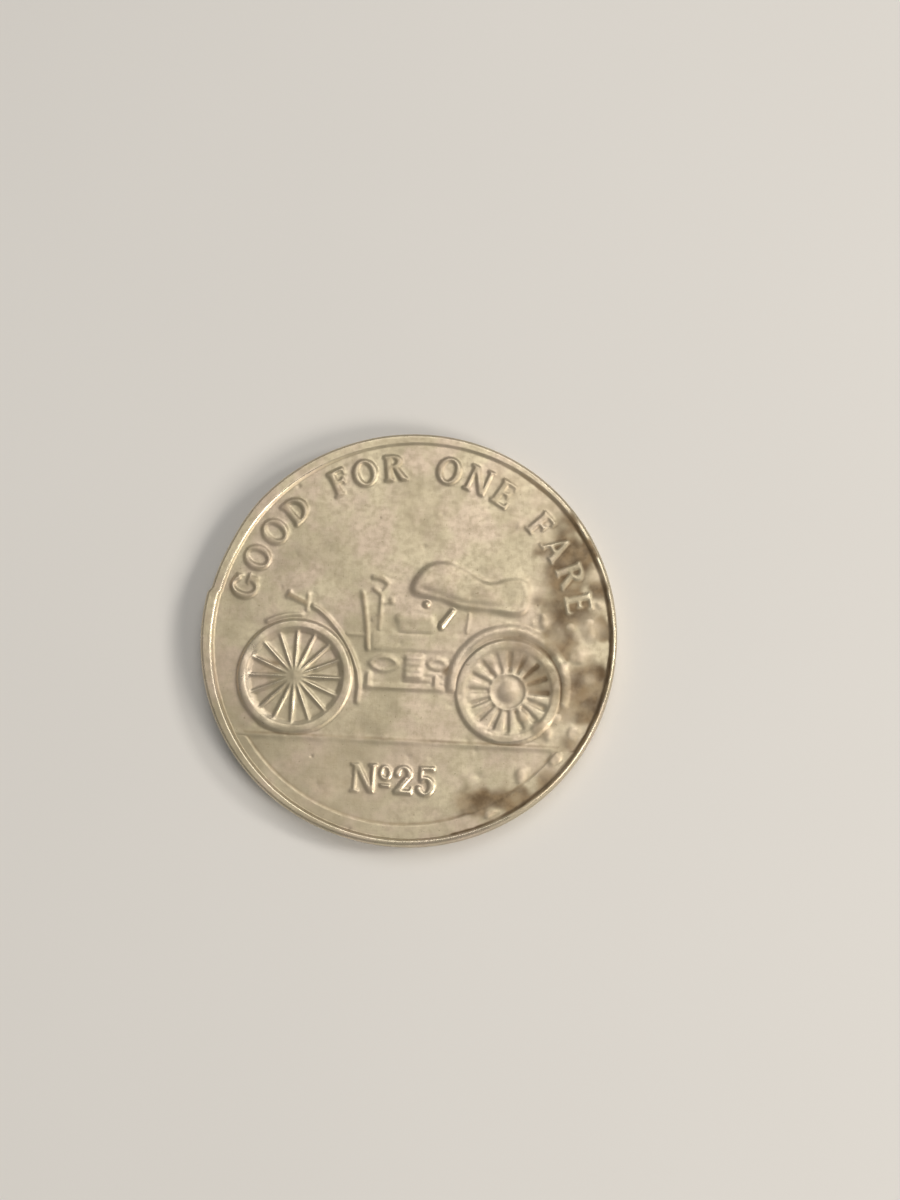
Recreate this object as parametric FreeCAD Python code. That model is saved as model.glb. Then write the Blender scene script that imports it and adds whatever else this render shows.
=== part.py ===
"""Struck metal fare token, in millimetres.

The token is one disc of white metal, struck on both faces. It lies on its reverse, so +Z points
out of the obverse, +Y is the top of both designs and the origin is the middle of the face that it
rests on. The obverse shows a high-wheel motor buggy on a ground line, with a legend round the top
and a number in the segment below. The reverse shows a numeral in a wreath, with a legend round it.

The real token is one piece of metal. Here the blank and each feature of the relief are solids of
their own, seated face to face, so that a legend or a picture can be picked out or swapped.
Each feature is drawn on a face lying in the XY plane and is then carried to its side of the blank.
"""
import FreeCAD, Part
import math
import os

from FreeCAD import Vector

# Blank
DIAMETER = 26.0
THICKNESS = 1.8
RIM_WIDTH = 0.6
RIM_HEIGHT = 0.22           # rim above the field, on both faces
EDGE_BEVEL = 0.15

RADIUS = DIAMETER / 2
FIELD_RADIUS = RADIUS - RIM_WIDTH

# Obverse layout: places are (x, y) on the face. The picture, all but the lettering, is drawn about
# its own middle and then moved by PICTURE_X and PICTURE_Y.
PICTURE_X = 0.1
PICTURE_Y = -0.38
GROUND_Y = -6.1
GROUND_LINE = 0.24          # thickness of the line that the wheels stand on
LEDGE_RADIUS = 11.7         # a low ledge lies inside the rim, round the segment below the line
LEDGE_HEIGHT = 0.1
TYRE_WIDTH = 0.6
FRONT_WHEEL_RADIUS = 3.6
REAR_WHEEL_RADIUS = 3.25
FRONT_HUB_X = -6.95
REAR_HUB_X = 6.35
FRONT_CAP_RADIUS = 3.92     # the front mudguard's short cap over the wheel, at its crest
REAR_GUARD_RADIUS = 3.5     # at its crest
FRONT_GUARD_WIDTH = 0.3
REAR_GUARD_WIDTH = 0.76
REAR_GUARD_LIFT = 0.35      # the rear mudguard's middle is above the rear hub
BODY_LEFT = -2.3
BODY_FOOT = -0.55
BODY_TOP = 0.45
RAIL_Y = -2.9
RAIL_END = 2.3

GROUND_FOOT = GROUND_Y - GROUND_LINE
EXERGUE_TOP = GROUND_FOOT + PICTURE_Y
FRONT_HUB = (FRONT_HUB_X, GROUND_Y + FRONT_WHEEL_RADIUS)
REAR_HUB = (REAR_HUB_X, GROUND_Y + REAR_WHEEL_RADIUS)
REAR_GUARD_MIDDLE = (REAR_HUB_X, REAR_HUB[1] + REAR_GUARD_LIFT)

# Relief heights above the field
LETTER_HEIGHT = 0.16
TYRE_HEIGHT = 0.15
RIDGE_HEIGHT = 0.12
PANEL_HEIGHT = 0.06
LOW_HEIGHT = 0.09
TOP_HEIGHT = 0.17

# Lettering, as shares of the capital height
THICK = 0.225
THIN = 0.125
SERIF = 0.08
LEGEND_CAPITAL = 1.7
LEGEND_BASE_RADIUS = 9.95
LETTER_GAP = 0.4
WORD_GAP = 1.9
NUMBER_CAPITAL = 1.75
NUMBER_X = -0.3
NUMBER_BASE_Y = -9.82
NUMBER_GAP = 0.12

# Reverse layout
BEAD_RADIUS = 0.17
BEAD_CIRCLE = 8.1
BEADS = 60
REVERSE_BASE_RADIUS = 9.3
REVERSE_CAPITAL = 1.9
NUMERAL_CAPITAL = 7.0
WREATH_RADIUS = 5.6
LEAVES_PER_SIDE = 7

UP = Vector(0, 0, 1)
BIG = 40.0                  # larger than the token, for half-space cutters


def fused(shapes):
    """One clean solid, or several where the shapes don't touch."""
    shapes = list(shapes)
    whole = shapes[0] if len(shapes) == 1 else shapes[0].multiFuse(shapes[1:])
    return whole.removeSplitter()


def above_field(shape):
    """The part of a shape that stands above the field plane."""
    return shape.common(Part.makeBox(BIG, BIG, BIG, Vector(-BIG / 2, -BIG / 2, 0)))


def plate(points, height):
    """A flat-topped polygon."""
    corners = [Vector(x, y, 0) for x, y in points]
    return Part.Face(Part.makePolygon(corners + corners[:1])).extrude(UP * height)


def box(x0, y0, x1, y1, height):
    return plate([(x0, y0), (x1, y0), (x1, y1), (x0, y1)], height)


def disc(x, y, radius, height):
    return Part.makeCylinder(radius, height, Vector(x, y, 0))


def oval(x, y, rx, ry, height):
    """A flat-topped ellipse with its axes along X and Y."""
    along, across = Vector(x + rx, y, 0), Vector(x, y + ry, 0)
    first, second = (along, across) if rx >= ry else (across, along)
    edge = Part.Ellipse(first, second, Vector(x, y, 0)).toShape()
    return Part.Face(Part.Wire(edge)).extrude(UP * height)


def oval_ring(x, y, outer, inner, height):
    """An upright O: outer and inner are half-widths along X and Y."""
    return oval(x, y, *outer, height).cut(oval(x, y, *inner, height))


def stadium(x0, y0, x1, y1, half_width, height):
    """A flat bar with round ends."""
    run = Vector(x1 - x0, y1 - y0, 0)
    side = Vector(-run.y, run.x, 0).normalize() * half_width
    a, b = Vector(x0, y0, 0), Vector(x1, y1, 0)
    corners = [a + side, a - side, b - side, b + side]
    middle = plate([(p.x, p.y) for p in corners], height)
    return fused([middle, disc(x0, y0, half_width, height), disc(x1, y1, half_width, height)])


def section_radius(half_width, height):
    """Radius of a round section that shows half_width and height above the field."""
    return (half_width ** 2 + height ** 2) / (2 * height)


def ridge(x0, y0, x1, y1, half_width, height):
    """A straight raised line of round section with rounded ends."""
    radius = section_radius(half_width, height)
    sink = Vector(0, 0, height - radius)
    a, b = Vector(x0, y0, 0) + sink, Vector(x1, y1, 0) + sink
    rod = Part.makeCylinder(radius, (b - a).Length, a, b - a)
    ends = [Part.makeSphere(radius, p) for p in (a, b)]
    return above_field(fused([rod, *ends]))


def round_ridge(x, y, circle, half_width, height, start=0.0, sweep=360.0):
    """A raised arc of round section about (x, y). Angles are in degrees, anticlockwise from +X."""
    radius = section_radius(half_width, height)
    middle = Vector(x, y, height - radius)
    ring = Part.makeTorus(circle, radius, middle, UP, 0, 360, sweep)
    ring.rotate(middle, UP, start)
    return above_field(ring)


def dome(x, y, radius, height):
    ball = section_radius(radius, height)
    return above_field(Part.makeSphere(ball, Vector(x, y, height - ball)))


def spoke(x, y, angle, inner, outer, hub_radius, rim_radius):
    """A half-round spoke that tapers from the hub to the rim."""
    way = Vector(math.cos(angle), math.sin(angle), 0)
    foot = Vector(x, y, 0) + way * inner
    return above_field(Part.makeCone(hub_radius, rim_radius, outer - inner, foot, way))


def softened(shape, radius):
    """A flat-topped solid with its upper edges rounded."""
    top = shape.BoundBox.ZMax
    edges = [e for e in shape.Edges if e.BoundBox.ZMin > top - 1e-6]
    return shape.makeFillet(radius, edges)


# Lettering. Each letter is drawn in a cell one unit high, from its left side, and is then scaled.

def stem(x, height, low=0.0, high=1.0, width=THICK):
    return box(x - width / 2, low, x + width / 2, high, height)


def serif(x, y, half_length, height):
    """A short flat serif whose outer side is on the baseline (y 0) or the cap line (y 1)."""
    low = y if y == 0 else y - SERIF
    return box(x - half_length, low, x + half_length, low + SERIF, height)


def half_bowl(x, y, outer, inner, height):
    """The right half of an oval ring."""
    right = Part.makeBox(BIG, BIG, BIG, Vector(x, -BIG / 2, -BIG / 2))
    return oval_ring(x, y, outer, inner, height).common(right)


def letter_a(h):
    thin_leg = plate([(0.10, 0), (0.23, 0), (0.53, 1), (0.43, 1)], h)
    thick_leg = plate([(0.66, 0), (0.89, 0), (0.56, 1), (0.40, 1)], h)
    bar = box(0.24, 0.28, 0.70, 0.28 + THIN, h)
    return [thin_leg, thick_leg, bar, serif(0.17, 0, 0.15, h), serif(0.78, 0, 0.18, h)], 0.96


def letter_d(h):
    bowl = half_bowl(0.30, 0.5, (0.58, 0.5), (0.58 - THICK, 0.5 - THIN), h)
    bars = [box(0.03, 0, 0.31, THIN, h), box(0.03, 1 - THIN, 0.31, 1, h)]
    return [stem(0.20, h), bowl, *bars], 0.88


def arms(h, with_foot):
    top = [box(0.03, 1 - THIN, 0.68, 1, h), box(0.61, 0.76, 0.68, 1, h)]
    middle = [box(0.2, 0.46, 0.54, 0.46 + THIN, h), box(0.50, 0.38, 0.56, 0.65, h)]
    foot = [box(0.03, 0, 0.70, THIN, h), box(0.64, 0, 0.71, 0.26, h)]
    return top + middle + (foot if with_foot else [serif(0.20, 0, 0.20, h)])


def letter_e(h):
    return [stem(0.20, h), *arms(h, True)], 0.71


def letter_f(h):
    return [stem(0.20, h), *arms(h, False)], 0.68


def letter_g(h):
    ring = oval_ring(0.47, 0.5, (0.46, 0.52), (0.46 - THICK, 0.52 - THIN), h)
    mouth = box(0.52, 0.44, 1.1, 0.74, h)
    throat = [stem(0.80, h, 0.07, 0.47), box(0.60, 0.40, 0.97, 0.40 + SERIF, h)]
    return [ring.cut(mouth), *throat, box(0.80, 0.68, 0.86, 0.93, h)], 0.95


def letter_n(h):
    left = [stem(0.17, h, width=THIN), serif(0.17, 0, 0.15, h), serif(0.12, 1, 0.12, h)]
    right = [stem(0.80, h, width=THIN), serif(0.80, 1, 0.15, h)]
    return [*left, *right, plate([(0.08, 1), (0.31, 1), (0.86, 0), (0.66, 0)], h)], 0.95


def letter_o(h):
    return [oval_ring(0.46, 0.5, (0.46, 0.52), (0.46 - THICK, 0.52 - THIN), h)], 0.92


def letter_r(h):
    bowl = half_bowl(0.32, 0.74, (0.41, 0.26), (0.41 - THICK, 0.26 - THIN), h)
    bars = [box(0.03, 1 - THIN, 0.33, 1, h), box(0.2, 0.48, 0.34, 0.48 + THIN, h)]
    leg = plate([(0.34, 0.52), (0.56, 0.52), (0.88, 0), (0.62, 0)], h)
    return [stem(0.20, h), bowl, *bars, leg, serif(0.20, 0, 0.18, h), serif(0.78, 0, 0.12, h)], 0.90


def digit_1(h):
    flag = plate([(0.04, 0.76), (0.30, 1), (0.30, 0.84), (0.10, 0.70)], h)
    return [stem(0.33, h), flag, serif(0.33, 0, 0.27, h)], 0.62


def digit_2(h):
    loop = oval_ring(0.34, 0.70, (0.32, 0.30), (0.32 - THICK * 0.9, 0.30 - THIN), h)
    loop = loop.cut(plate([(0.34, 0.70), (-0.2, 0.66), (-0.2, 0), (0.9, 0), (0.9, 0.42)], h))
    neck = plate([(0.40, 0.60), (0.63, 0.60), (0.24, 0.10), (0.03, 0.10)], h)
    foot = [box(0.03, 0, 0.68, THIN + 0.03, h), box(0.61, 0, 0.68, 0.28, h)]
    return [loop, neck, *foot, disc(0.13, 0.70, 0.10, h)], 0.72


def digit_5(h):
    loop = oval_ring(0.33, 0.32, (0.34, 0.34), (0.34 - THICK, 0.34 - THIN), h)
    loop = loop.cut(plate([(0.33, 0.32), (-0.3, 0.14), (-0.3, 1), (0.14, 0.8)], h))
    neck = [box(0.12, 0.50, 0.12 + THIN, 1, h), box(0.12, 0.86, 0.64, 1, h)]
    bridge = plate([(0.12, 0.50), (0.30, 0.66), (0.34, 0.55), (0.18, 0.44)], h)
    return [loop, *neck, bridge, disc(0.12, 0.22, 0.10, h)], 0.70


def small_o(h):
    """The raised o of a numero sign, with its underline."""
    ring = oval_ring(0.22, 0.72, (0.22, 0.26), (0.10, 0.16), h)
    return [ring, box(0.04, 0.24, 0.40, 0.24 + SERIF, h)], 0.44


GLYPHS = {
    "A": letter_a, "D": letter_d, "E": letter_e, "F": letter_f, "G": letter_g, "N": letter_n,
    "O": letter_o, "R": letter_r, "o": small_o, "1": digit_1, "2": digit_2, "5": digit_5,
}


def glyph(character, capital, height):
    """(solid, width) of a character with its baseline on y 0 and its left side on x 0."""
    strokes, width = GLYPHS[character](height / capital)
    solid = fused(strokes)
    solid.scale(capital, Vector(0, 0, 0))
    return solid, width * capital


def placed_glyphs(text, capital, height, letter_gap, word_gap):
    """[(solid with its middle on x 0, middle along the line)], with the whole line centred on 0."""
    made, at = [], 0.0
    for character in text:
        if character == " ":
            at += word_gap - letter_gap
            continue
        solid, width = glyph(character, capital, height)
        solid.translate(Vector(-width / 2, 0, 0))
        made.append((solid, at + width / 2))
        at += width + letter_gap
    length = at - letter_gap
    return [(solid, middle - length / 2) for solid, middle in made]


def arc_text(text, capital, base_radius, height, word_gap=WORD_GAP, along_foot=False):
    """Letters round a circle: heads outwards over the top, or heads inwards along the foot."""
    letters = []
    middle_radius = base_radius + capital / 2
    for solid, along in placed_glyphs(text, capital, height, LETTER_GAP, word_gap):
        turn = math.degrees(along / middle_radius)
        if along_foot:
            solid.translate(Vector(0, -base_radius - capital, 0))
            solid.rotate(Vector(0, 0, 0), UP, turn)
        else:
            solid.translate(Vector(0, base_radius, 0))
            solid.rotate(Vector(0, 0, 0), UP, -turn)
        letters.append(solid)
    return Part.makeCompound(letters)


def line_text(text, capital, x, base_y, height, gap):
    letters = []
    for solid, along in placed_glyphs(text, capital, height, gap, gap):
        solid.translate(Vector(x + along, base_y, 0))
        letters.append(solid)
    return Part.makeCompound(letters)


# The blank

def ledge():
    """The ledge inside the rim, round the segment below the ground line."""
    band = disc(0, 0, FIELD_RADIUS, LEDGE_HEIGHT).cut(disc(0, 0, LEDGE_RADIUS, LEDGE_HEIGHT))
    segment = Part.makeBox(BIG, BIG, LEDGE_HEIGHT, Vector(-BIG / 2, EXERGUE_TOP - BIG, 0))
    return band.common(segment)


def token_blank():
    body = Part.makeCylinder(RADIUS, THICKNESS)
    rims = [e for e in body.Edges if e.Curve.TypeId == "Part::GeomCircle"]
    body = body.makeChamfer(EDGE_BEVEL, rims)
    recess = disc(0, 0, FIELD_RADIUS, RIM_HEIGHT)
    return body.cut(on_obverse(recess.cut(ledge()))).cut(recess)


# Obverse: the wheels and their mudguards

def tyre(hub, radius):
    """The tyre, and a low felloe that closes the gap to the ends of the spokes."""
    opening = radius - TYRE_WIDTH
    band = disc(*hub, radius, TYRE_HEIGHT).cut(disc(*hub, opening, TYRE_HEIGHT))
    felloe = disc(*hub, opening + 0.05, 0.07).cut(disc(*hub, opening - 0.15, 0.07))
    return [softened(band, 0.09), felloe]


def spokes(hub, radius, count, hub_end, rim_end):
    """Spokes whose half-widths are hub_end at the hub and rim_end at the tyre."""
    inner, outer = 0.2, radius - TYRE_WIDTH - 0.05
    turn = 2 * math.pi / count
    return [spoke(*hub, math.pi / 2 + i * turn, inner, outer, hub_end, rim_end) for i in range(count)]


def front_wheel():
    parts = tyre(FRONT_HUB, FRONT_WHEEL_RADIUS) + spokes(FRONT_HUB, FRONT_WHEEL_RADIUS, 16, 0.14, 0.1)
    return fused(parts + [dome(*FRONT_HUB, 0.6, 0.16)])


def wedge_spoke(hub, angle, inner, outer):
    """A flat spoke that widens from the hub to the tyre."""
    narrow, wide = 0.12, 0.34
    middle = Vector(*hub, 0)
    way = Vector(math.cos(angle), math.sin(angle), 0)
    side = Vector(-way.y, way.x, 0)
    foot, head = middle + way * inner, middle + way * outer
    corners = [foot - side * narrow, head - side * wide, head + side * wide, foot + side * narrow]
    return plate([(p.x, p.y) for p in corners], LOW_HEIGHT)


def rear_wheel():
    count = 16
    sprocket_radius = 1.1
    opening = REAR_WHEEL_RADIUS - TYRE_WIDTH
    angles = [(i + 0.5) * 2 * math.pi / count for i in range(count)]
    wedges = [wedge_spoke(REAR_HUB, angle, sprocket_radius, opening) for angle in angles]
    sprocket = round_ridge(*REAR_HUB, sprocket_radius, 0.12, 0.12)
    boss = disc(*REAR_HUB, sprocket_radius, 0.04)
    hub = dome(*REAR_HUB, 0.78, 0.17)
    return fused([*tyre(REAR_HUB, REAR_WHEEL_RADIUS), *wedges, boss, sprocket, hub])


# The front mudguard's run down the back of the wheel, from the lamp bracket to its foot
FRONT_GUARD_RUN = (
    (-6.12, 1.98), (-5.7, 1.76), (-5.12, 1.3), (-4.48, 0.6), (-3.85, -0.28), (-3.37, -1.18), (-3.04, -2.0),
    (-2.88, -2.9), (-2.95, -3.9),
)


def front_mudguard():
    half = FRONT_GUARD_WIDTH / 2
    run = [ridge(*a, *b, half, RIDGE_HEIGHT) for a, b in zip(FRONT_GUARD_RUN, FRONT_GUARD_RUN[1:])]
    cap = round_ridge(*FRONT_HUB, FRONT_CAP_RADIUS, half, LOW_HEIGHT, 86, 36)
    return Part.makeCompound([fused(run), cap])


def rear_mudguard():
    start, sweep = -18, 206
    band = round_ridge(
        *REAR_GUARD_MIDDLE, REAR_GUARD_RADIUS, REAR_GUARD_WIDTH / 2, RIDGE_HEIGHT, start, sweep,
    )
    return band.cut(disc(*REAR_HUB, REAR_WHEEL_RADIUS, RIM_HEIGHT))


# Obverse: the carriage between the wheels

def clear_of_guards(shape):
    """Cut short where a mudguard and the groove beside it lie."""
    groove = 0.06
    beside = FRONT_GUARD_WIDTH / 2 + groove
    front = [stadium(*a, *b, beside, 1.0) for a, b in zip(FRONT_GUARD_RUN, FRONT_GUARD_RUN[1:])]
    rear = disc(*REAR_GUARD_MIDDLE, REAR_GUARD_RADIUS + REAR_GUARD_WIDTH / 2 + groove, 1.0)
    return shape.cut(front + [rear])


def body_panel():
    """The side of the box body: a panel inside a raised moulding."""
    right = REAR_HUB_X
    moulding = 0.17
    slab = box(BODY_LEFT, BODY_FOOT, right, BODY_TOP, RIDGE_HEIGHT)
    inner = box(
        BODY_LEFT + moulding, BODY_FOOT + moulding, right, BODY_TOP - moulding, RIDGE_HEIGHT,
    )
    inner.translate(UP * PANEL_HEIGHT)
    return clear_of_guards(slab.cut(inner))


def chassis_rail():
    """The frame rail, with two hangers up to the springs."""
    rail = ridge(-2.5, RAIL_Y, RAIL_END, RAIL_Y, 0.14, 0.1)
    hangers = [ridge(x, RAIL_Y + 0.1, x, RAIL_Y + 0.75, 0.13, 0.13) for x in (-2.35, 1.85)]
    return clear_of_guards(fused([rail, *hangers]))


def leaf_spring(x, y, half_length, bulge):
    """An elliptic spring: two shallow arcs that meet at their ends."""
    radius = (half_length ** 2 + bulge ** 2) / (2 * bulge)
    spread = math.degrees(2 * math.asin(half_length / radius))
    drop = radius - bulge
    upper = round_ridge(x, y - drop, radius, 0.09, LOW_HEIGHT, 90 - spread / 2, spread)
    lower = round_ridge(x, y + drop, radius, 0.09, LOW_HEIGHT, 270 - spread / 2, spread)
    ends = [dome(x + side * half_length, y, 0.14, 0.11) for side in (-1, 1)]
    return fused([upper, lower, *ends])


def springs():
    return Part.makeCompound([leaf_spring(-1.42, -1.45, 0.85, 0.42), leaf_spring(1.9, -1.35, 0.55, 0.3)])


def engine():
    """A small finned engine under the seat. Its chain runs back behind the rail's hanger."""
    left, right, low, high = -0.15, 1.0, -2.45, -0.85
    block = box(left, low, right, high, 0.07)
    fins = [stadium(left + 0.12, y, right - 0.12, y, 0.085, 0.14) for y in (-1.05, -1.42, -1.79, -2.16)]
    chain = [ridge(right, y0, 2.3, y1, 0.07, 0.07) for y0, y1 in ((-1.95, -2.02), (-2.35, -2.5))]
    return fused([block, *fins, *chain]).cut(chassis_rail())


def dash_board():
    """The upright dash at the front of the body and the toe board ahead of it."""
    low = ridge(BODY_LEFT - 0.2, BODY_FOOT, -2.72, 1.3, 0.14, 0.13)
    high = ridge(-2.72, 1.3, -3.05, 2.95, 0.14, 0.13)
    toe = ridge(-3.9, 0.33, -2.62, 0.28, 0.1, 0.08)
    return clear_of_guards(fused([low, high, toe]))


def steering_tiller():
    """A steering post with a curved handle, a second lever, a side lever and a pedal."""
    x = -1.85
    post = ridge(x, 0.72, x, 2.9, 0.11, 0.11)
    handle = round_ridge(-2.35, 2.83, 1.16, 0.15, 0.13, 38, 62)
    neck = ridge(x, 2.9, -1.5, 3.48, 0.09, 0.1)
    second = ridge(-2.35, 3.25, x, 2.9, 0.12, 0.12)
    side = ridge(x, 2.3, -1.22, 2.5, 0.09, 0.09)
    pedal = ridge(-2.3, 1.26, x, 1.5, 0.1, 0.1)
    knobs = [dome(x, 1.5, 0.2, 0.14), dome(-1.2, 2.5, 0.2, 0.14)]
    return fused([post, handle, neck, second, side, pedal, *knobs])


def seat():
    """Seat box, rolled cushion and arm rail."""
    foot = BODY_TOP + 0.12
    riser = plate([(-0.6, foot), (1.6, foot), (1.75, 1.2), (-0.75, 1.2)], LOW_HEIGHT)
    cushion = softened(stadium(-0.65, 1.42, 1.3, 1.42, 0.24, 0.15), 0.1)
    arm = round_ridge(0.5, 1.3, 0.75, 0.08, 0.1, 45, 90)
    return fused([riser, cushion, arm])


# The folded top's outline, from its front tip, over the roll and round the back
TOP_OUTLINE = (
    (0.0, 3.4), (0.25, 4.05), (1.0, 4.85), (2.0, 5.08), (3.05, 4.75), (4.1, 4.12), (5.0, 3.85),
    (6.1, 4.18), (7.15, 4.02), (7.38, 3.1), (7.2, 2.2), (5.0, 2.13), (3.0, 2.3), (1.6, 2.78),
)

SEAM = ((0.7, 3.3), (1.9, 2.98), (3.2, 2.57), (5.0, 2.42), (6.75, 2.46), (6.98, 3.3))


def folded_top():
    """The leather top, folded down over the back of the body, with a seam along its lower binding."""
    curve = Part.BSplineCurve()
    curve.interpolate([Vector(x, y, 0) for x, y in TOP_OUTLINE], PeriodicFlag=True)
    flat = Part.Face(Part.Wire(curve.toShape()))
    seam_depth = 0.08
    seam = fused(ridge(*a, *b, 0.13, 0.13) for a, b in zip(SEAM, SEAM[1:]))
    seam.translate(UP * (TOP_HEIGHT - seam_depth))
    cloth = softened(flat.extrude(UP * TOP_HEIGHT), 0.12)
    return cloth.cut(seam)


def top_props():
    """What carries the folded top: a stout raked brace, a thin iron behind it, and a knob in front."""
    brace = ridge(1.97, 1.02, 2.66, 2.02, 0.17, 0.17)
    iron = ridge(3.6, 0.72, 3.72, 1.9, 0.09, 0.07)
    knob = dome(1.0, 2.4, 0.24, 0.17)
    return Part.makeCompound([brace, iron, knob])


def headlamp():
    """A lamp that points down the road, on a bracket that stands over the front wheel."""
    drum = ridge(-7.6, 2.6, -6.62, 2.17, 0.17, 0.15)
    glass = ridge(-7.8, 2.52, -7.64, 2.86, 0.09, 0.13)
    bracket = ridge(-6.49, 1.72, -6.46, 2.72, 0.1, 0.12)
    return fused([drum, glass, bracket])


def ground_line():
    """The line that the wheels stand on, from rim to rim, with a few stones on it."""
    line = box(-BIG / 2, GROUND_FOOT, BIG / 2, GROUND_Y, 0.11)
    field = disc(-PICTURE_X, -PICTURE_Y, FIELD_RADIUS, 1)
    stones = [dome(x, GROUND_Y + 0.12, r, 0.08) for x, r in ((-2.9, 0.26), (-2.3, 0.16), (-1.1, 0.2))]
    return fused([line.common(field), *stones])


def obverse_legend():
    return arc_text("GOOD FOR ONE FARE", LEGEND_CAPITAL, LEGEND_BASE_RADIUS, LETTER_HEIGHT)


def exergue_number():
    return line_text("No25", NUMBER_CAPITAL, NUMBER_X, NUMBER_BASE_Y, LETTER_HEIGHT, NUMBER_GAP)


# Reverse

def reverse_legend():
    top = arc_text("GOOD FOR", REVERSE_CAPITAL, REVERSE_BASE_RADIUS, LETTER_HEIGHT, 2.2)
    foot = arc_text("ONE FARE", REVERSE_CAPITAL, REVERSE_BASE_RADIUS, LETTER_HEIGHT, 2.2, True)
    stops = [dome(side * (REVERSE_BASE_RADIUS + REVERSE_CAPITAL / 2), 0, 0.4, 0.14) for side in (-1, 1)]
    return Part.makeCompound([top, foot, *stops])


def reverse_bead_circle():
    turn = 2 * math.pi / BEADS
    return Part.makeCompound([
        dome(BEAD_CIRCLE * math.cos(i * turn), BEAD_CIRCLE * math.sin(i * turn), BEAD_RADIUS, 0.12)
        for i in range(BEADS)
    ])


def reverse_numeral():
    solid, width = glyph("1", NUMERAL_CAPITAL, 0.17)
    solid.translate(Vector(-width / 2 - 0.1, -NUMERAL_CAPITAL / 2, 0))
    return softened(solid, 0.06)


def leaf(x, y, angle, length, half_width):
    """A pointed leaf from (x, y) outwards along an angle in degrees."""
    radius = ((length / 2) ** 2 + half_width ** 2) / (2 * half_width)
    offset = radius - half_width
    lens = disc(length / 2, offset, radius, 0.11).common(disc(length / 2, -offset, radius, 0.11))
    lens.rotate(Vector(0, 0, 0), UP, angle)
    lens.translate(Vector(x, y, 0))
    return lens


def laurel(side):
    """One branch from the foot to the shoulder. side is 1 for the right and -1 for the left."""
    sweep = 128
    foot = -84
    start = foot if side > 0 else 180 - foot - sweep
    stem_arc = round_ridge(0, 0, WREATH_RADIUS, 0.1, 0.08, start, sweep)
    parts = [stem_arc]
    for i in range(LEAVES_PER_SIDE):
        angle = foot + 12 + i * (sweep - 12) / (LEAVES_PER_SIDE - 1)
        turned = angle if side > 0 else 180 - angle
        x = WREATH_RADIUS * math.cos(math.radians(turned))
        y = WREATH_RADIUS * math.sin(math.radians(turned))
        heading = turned + side * 90
        parts += [leaf(x, y, heading + lean, 1.55, 0.3) for lean in (-34, 34)]
    return fused(parts)


def reverse_wreath():
    return Part.makeCompound([laurel(1), laurel(-1)])


# Assembly

def in_picture(shape):
    shape.translate(Vector(PICTURE_X, PICTURE_Y, 0))
    return shape


def on_obverse(shape):
    shape.translate(UP * (THICKNESS - RIM_HEIGHT))
    return shape


def on_reverse(shape):
    """Turned over about Y, so that the reverse reads upright with +Y at its top."""
    shape.rotate(Vector(0, 0, 0), Vector(0, 1, 0), 180)
    shape.translate(UP * RIM_HEIGHT)
    return shape


LETTERING = {
    "relief_legend": obverse_legend,
    "relief_number": exergue_number,
}
PICTURE = {
    "relief_ground_line": ground_line,
    "relief_front_wheel": front_wheel,
    "relief_rear_wheel": rear_wheel,
    "relief_front_mudguard": front_mudguard,
    "relief_rear_mudguard": rear_mudguard,
    "relief_body_panel": body_panel,
    "relief_chassis_rail": chassis_rail,
    "relief_springs": springs,
    "relief_engine": engine,
    "relief_dash_board": dash_board,
    "relief_steering_tiller": steering_tiller,
    "relief_seat": seat,
    "relief_folded_top": folded_top,
    "relief_top_props": top_props,
    "relief_headlamp": headlamp,
}
REVERSE = {
    "reverse_legend": reverse_legend,
    "reverse_bead_circle": reverse_bead_circle,
    "reverse_numeral": reverse_numeral,
    "reverse_wreath": reverse_wreath,
}


def main():
    os.makedirs("parts", exist_ok=True)
    nodes = {"token_blank": token_blank()}
    nodes.update({name: on_obverse(make()) for name, make in LETTERING.items()})
    nodes.update({name: on_obverse(in_picture(make())) for name, make in PICTURE.items()})
    nodes.update({name: on_reverse(make()) for name, make in REVERSE.items()})
    for name, shape in nodes.items():
        solids = Part.makeCompound(shape.Solids)
        solids.exportStep(f"parts/{name}.step")
        print(f"{name}: {len(shape.Solids)} solids, {solids.Volume:.3f} mm3, valid {solids.isValid()}")


main()
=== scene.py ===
"""Looks of a worn, struck fare token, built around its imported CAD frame.

Each face is one continuous struck surface: a height above the field, worked out on a square grid.
The heights start from the CAD relief, which is then softened, worn, dirtied and crusted. The
surface is shared out among the nodes, so the legend, each part of the picture and the blank are
closed pieces that meet along common edges without a seam. Work is in millimetres, and meshes are
made in metres.
"""
import math

import bpy
import numpy as np
from mathutils import Matrix, Vector
from mathutils.bvhtree import BVHTree


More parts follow.
